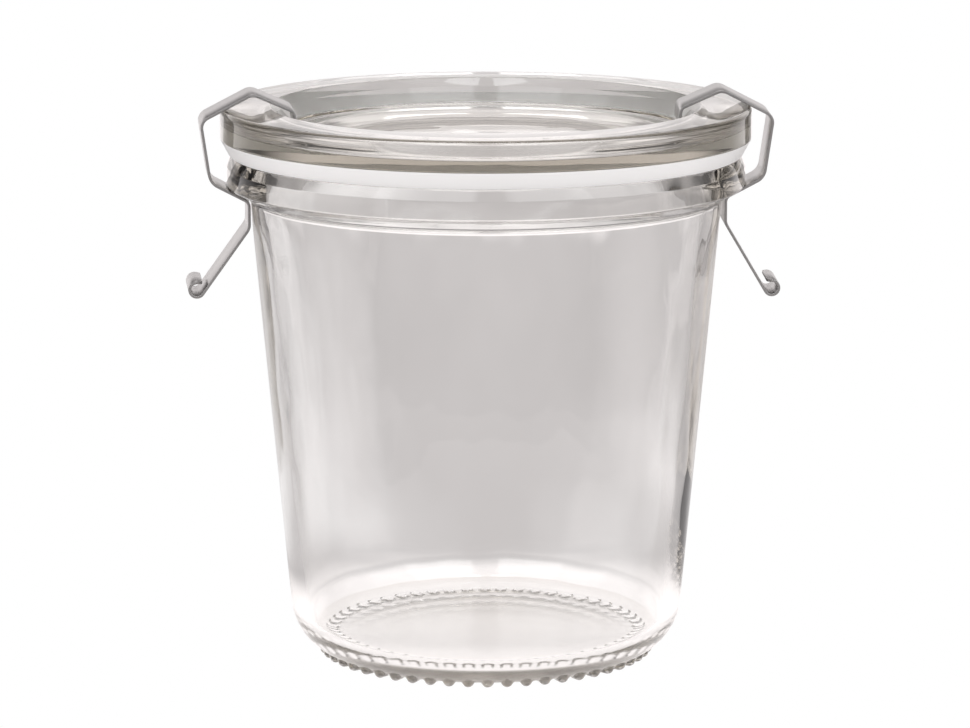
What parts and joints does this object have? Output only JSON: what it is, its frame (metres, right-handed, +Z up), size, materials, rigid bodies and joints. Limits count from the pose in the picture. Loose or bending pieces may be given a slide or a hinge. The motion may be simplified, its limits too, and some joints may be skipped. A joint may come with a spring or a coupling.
{
  "type": "preserving jar",
  "caption": "Clear glass preserving jar of tumbler form with a beaded foot, a dished glass lid resting on its flange and two bent flat spring clips.",
  "frame": {"origin": "centre of the foot, on the surface that the jar stands on", "axes": "+Z up along the jar's axis, +X to the right through the clips, +Y to the back"},
  "size_m": [0.0988, 0.088, 0.0951],
  "materials": {
    "jar_glass": "clear pressed glass, fire polished",
    "lid_glass": "clear pressed glass, fire polished",
    "clip_steel": "satin spring steel with bright cut edges"
  },
  "bodies": {
    "root": {"jar": "jar_glass", "lid": "lid_glass", "clip_right": "clip_steel", "clip_left": "clip_steel"}
  },
  "joints": []
}
